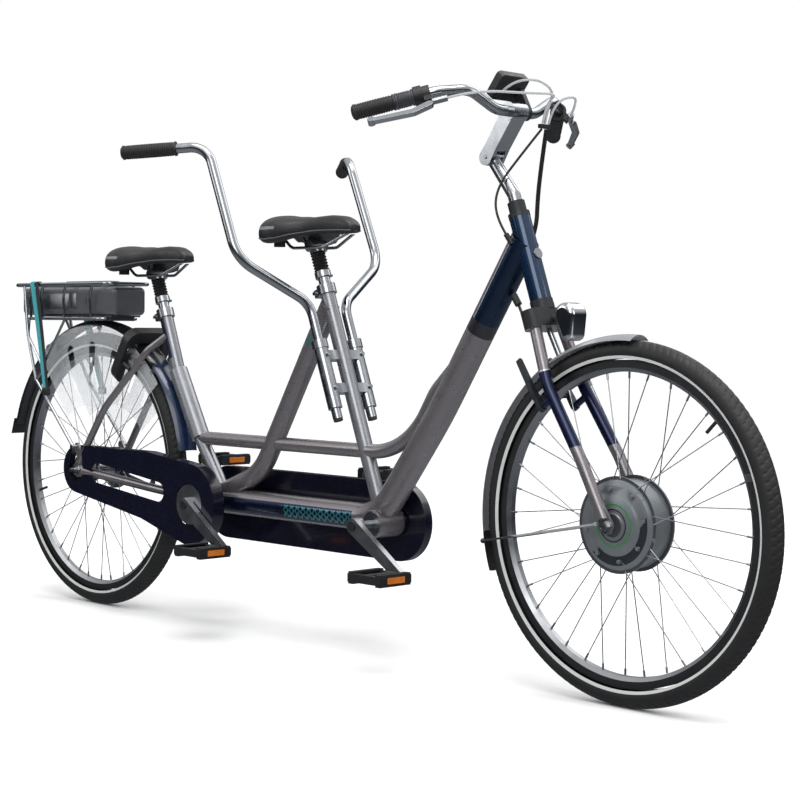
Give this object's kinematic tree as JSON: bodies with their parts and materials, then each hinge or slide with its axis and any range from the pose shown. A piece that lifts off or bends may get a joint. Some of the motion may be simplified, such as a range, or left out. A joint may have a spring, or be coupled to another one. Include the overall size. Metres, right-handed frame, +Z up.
{
  "type": "tandem bicycle",
  "caption": "Step-through electric tandem bicycle: hub-motor front wheel, enclosed chains, adjustable stoker bars, sprung saddles and a carrier with a sliding battery.",
  "frame": {"origin": "on the floor, at the middle of the overall length, in the bicycle's mid plane", "axes": "+X to the front of the bicycle, +Y to the riders' left, +Z up"},
  "size_m": [2.4942, 0.6966, 1.2503],
  "materials": {
    "paint_blue": "glossy metallic blue paint",
    "paint_grey": "satin gunmetal grey paint",
    "polished_alloy": "polished aluminium",
    "brushed_steel": "brushed stainless steel",
    "chrome_steel": "chromed steel",
    "case_plastic": "glossy navy-black plastic",
    "black_plastic": "moulded black plastic",
    "clear_plastic": "clear plastic sheet",
    "tyre_rubber": "black tyre rubber",
    "soft_rubber": "black moulded rubber",
    "saddle_cover": "stitched black synthetic leather over foam",
    "strap_elastic": "woven teal and black elastic",
    "cable_housing": "plastic cable housing",
    "battery_case": "silver and dark grey battery case",
    "clear_lamp": "clear and silver plastic"
  },
  "bodies": {
    "frame": {"head_tube": "paint_blue", "main_tube": "paint_grey", "mid_tube": "paint_grey", "front_seat_tube": "paint_grey", "rear_seat_tube": "paint_grey", "diagonal_tube": "paint_grey", "rear_stays": "paint_grey", "bottom_brackets": "paint_grey", "stoker_bar_sleeves": "polished_alloy", "timing_chain_case": "case_plastic", "drive_chain_case": "case_plastic", "chains": "brushed_steel", "rear_mudguard": "black_plastic", "coat_guards": "clear_plastic", "ring_lock": "black_plastic", "carrier": "polished_alloy", "carrier_straps": "strap_elastic", "rear_axle": "brushed_steel", "rear_brake": "polished_alloy"},
    "fork": {"fork": "paint_grey", "front_axle": "brushed_steel", "front_mudguard": "brushed_steel", "headlamp": "clear_lamp", "stem_post": "polished_alloy", "frame_cables": "cable_housing"},
    "right_brake_arm": {"right_brake_arm": "polished_alloy"},
    "left_brake_arm": {"left_brake_arm": "polished_alloy"},
    "handlebar": {"stem_arm": "polished_alloy", "handlebar": "polished_alloy", "handlebar_grips": "soft_rubber", "bar_clamps": "black_plastic", "display": "black_plastic", "control_cables": "cable_housing"},
    "twist_grip": {"twist_grip": "soft_rubber"},
    "right_brake_lever": {"right_brake_lever": "polished_alloy"},
    "left_brake_lever": {"left_brake_lever": "polished_alloy"},
    "front_wheel": {"front_tyre": "tyre_rubber", "front_rim": "polished_alloy", "front_spokes": "brushed_steel", "motor_hub": "polished_alloy"},
    "rear_wheel": {"rear_tyre": "tyre_rubber", "rear_rim": "polished_alloy", "rear_spokes": "brushed_steel", "rear_hub": "polished_alloy"},
    "rear_sprocket": {"rear_sprocket": "brushed_steel"},
    "front_crankset": {"front_crankset": "polished_alloy"},
    "rear_crankset": {"rear_crankset": "polished_alloy"},
    "front_right_pedal": {"front_right_pedal": "black_plastic"},
    "front_left_pedal": {"front_left_pedal": "black_plastic"},
    "rear_right_pedal": {"rear_right_pedal": "black_plastic"},
    "rear_left_pedal": {"rear_left_pedal": "black_plastic"},
    "front_seatpost": {"front_seatpost": "polished_alloy", "front_seat_boot": "soft_rubber"},
    "rear_seatpost": {"rear_seatpost": "polished_alloy", "rear_seat_boot": "soft_rubber"},
    "front_saddle": {"front_saddle": "saddle_cover"},
    "rear_saddle": {"rear_saddle": "saddle_cover"},
    "right_stoker_bar": {"right_stoker_bar": "polished_alloy"},
    "left_stoker_bar": {"left_stoker_bar": "polished_alloy"},
    "battery": {"battery": "battery_case"}
  },
  "joints": [
    {"name": "steering", "type": "hinge", "parent": "frame", "child": "fork", "pos_m": [0.66036, 0, 0.80322], "axis": [-0.3355, 0, 0.9421], "range_deg": [-60, 60], "deforming": ["frame_cables"]},
    {"name": "stem_tilt", "type": "hinge", "parent": "fork", "child": "handlebar", "pos_m": [0.52814, 0, 1.08], "axis": [0, 1, 0], "range_deg": [-18, 18], "deforming": ["control_cables"]},
    {"name": "front_wheel_spin", "type": "hinge", "parent": "fork", "child": "front_wheel", "pos_m": [0.89214, 0, 0.355], "axis": [0, 1, 0], "continuous": true},
    {"name": "rear_wheel_spin", "type": "hinge", "parent": "frame", "child": "rear_wheel", "pos_m": [-0.85786, 0, 0.355], "axis": [0, 1, 0], "continuous": true},
    {"name": "rear_crank_spin", "type": "hinge", "parent": "frame", "child": "rear_crankset", "pos_m": [-0.38286, 0, 0.3], "axis": [0, 1, 0], "continuous": true},
    {"name": "front_crank_spin", "type": "hinge", "parent": "frame", "child": "front_crankset", "pos_m": [0.21315, 0, 0.3], "axis": [0, 1, 0], "continuous": true},
    {"name": "rear_sprocket_spin", "type": "hinge", "parent": "frame", "child": "rear_sprocket", "pos_m": [-0.85786, 0, 0.355], "axis": [0, 1, 0], "continuous": true},
    {"name": "front_right_pedal_spin", "type": "hinge", "parent": "front_crankset", "child": "front_right_pedal", "pos_m": [0.35572, -0.146, 0.20741], "axis": [0, 1, 0], "continuous": true},
    {"name": "front_left_pedal_spin", "type": "hinge", "parent": "front_crankset", "child": "front_left_pedal", "pos_m": [0.07057, 0.146, 0.39259], "axis": [0, 1, 0], "continuous": true},
    {"name": "rear_right_pedal_spin", "type": "hinge", "parent": "rear_crankset", "child": "rear_right_pedal", "pos_m": [-0.24028, -0.146, 0.20741], "axis": [0, 1, 0], "continuous": true},
    {"name": "rear_left_pedal_spin", "type": "hinge", "parent": "rear_crankset", "child": "rear_left_pedal", "pos_m": [-0.52543, 0.146, 0.39259], "axis": [0, 1, 0], "continuous": true},
    {"name": "right_lever", "type": "hinge", "parent": "handlebar", "child": "right_brake_lever", "pos_m": [0.55979, -0.21569, 1.16603], "axis": [-0.3161, 0.593, -0.7406], "range_deg": [0, 10], "stiffness_Nm_per_rad": 2, "springref_deg": -5.73},
    {"name": "left_lever", "type": "hinge", "parent": "handlebar", "child": "left_brake_lever", "pos_m": [0.55979, 0.21569, 1.16603], "axis": [0.3161, 0.593, 0.7406], "range_deg": [0, 10], "stiffness_Nm_per_rad": 2, "springref_deg": -5.73},
    {"name": "gear_twist", "type": "hinge", "parent": "handlebar", "child": "twist_grip", "pos_m": [0.50613, -0.22602, 1.18066], "axis": [-0.6836, -0.6836, -0.2556], "range_deg": [-50, 50]},
    {"name": "left_brake_arm_swing", "type": "hinge", "parent": "fork", "child": "left_brake_arm", "pos_m": [0.71625, 0.05, 0.57473], "axis": [0.81, 0, 0.5864], "range_deg": [0, 3], "stiffness_Nm_per_rad": 1, "springref_deg": -2.86},
    {"name": "right_brake_arm_swing", "type": "hinge", "parent": "fork", "child": "right_brake_arm", "pos_m": [0.71625, -0.05, 0.57473], "axis": [-0.81, 0, -0.5864], "range_deg": [0, 3], "stiffness_Nm_per_rad": 1, "springref_deg": -2.86},
    {"name": "front_seat_height", "type": "slide", "parent": "frame", "child": "front_seatpost", "axis": [-0.3551, 0, 0.9348], "range_m": [-0.01, 0.08]},
    {"name": "rear_seat_height", "type": "slide", "parent": "frame", "child": "rear_seatpost", "axis": [-0.3551, 0, 0.9348], "range_m": [-0.01, 0.08]},
    {"name": "front_seat_suspension", "type": "slide", "parent": "front_seatpost", "child": "front_saddle", "axis": [0.3551, 0, -0.9348], "range_m": [0, 0.03], "stiffness_N_per_m": 18000, "springref_m": -0.006, "deforming": ["front_seat_boot"]},
    {"name": "rear_seat_suspension", "type": "slide", "parent": "rear_seatpost", "child": "rear_saddle", "axis": [0.3551, 0, -0.9348], "range_m": [0, 0.03], "stiffness_N_per_m": 18000, "springref_m": -0.006, "deforming": ["rear_seat_boot"]},
    {"name": "right_stoker_bar_height", "type": "slide", "parent": "frame", "child": "right_stoker_bar", "axis": [-0.3551, 0, 0.9348], "range_m": [-0.04, 0.05]},
    {"name": "left_stoker_bar_height", "type": "slide", "parent": "frame", "child": "left_stoker_bar", "axis": [-0.3551, 0, 0.9348], "range_m": [-0.04, 0.05]},
    {"name": "battery_slide", "type": "slide", "parent": "frame", "child": "battery", "axis": [-1, 0, 0], "range_m": [0, 0.4]}
  ],
  "couplings": [
    {"joint": "front_crank_spin", "follows": "rear_crank_spin", "ratio": 1},
    {"joint": "rear_sprocket_spin", "follows": "rear_crank_spin", "ratio": 1.9412},
    {"joint": "left_brake_arm_swing", "follows": "left_lever", "ratio": 0.2999},
    {"joint": "right_brake_arm_swing", "follows": "left_lever", "ratio": 0.2999}
  ]
}
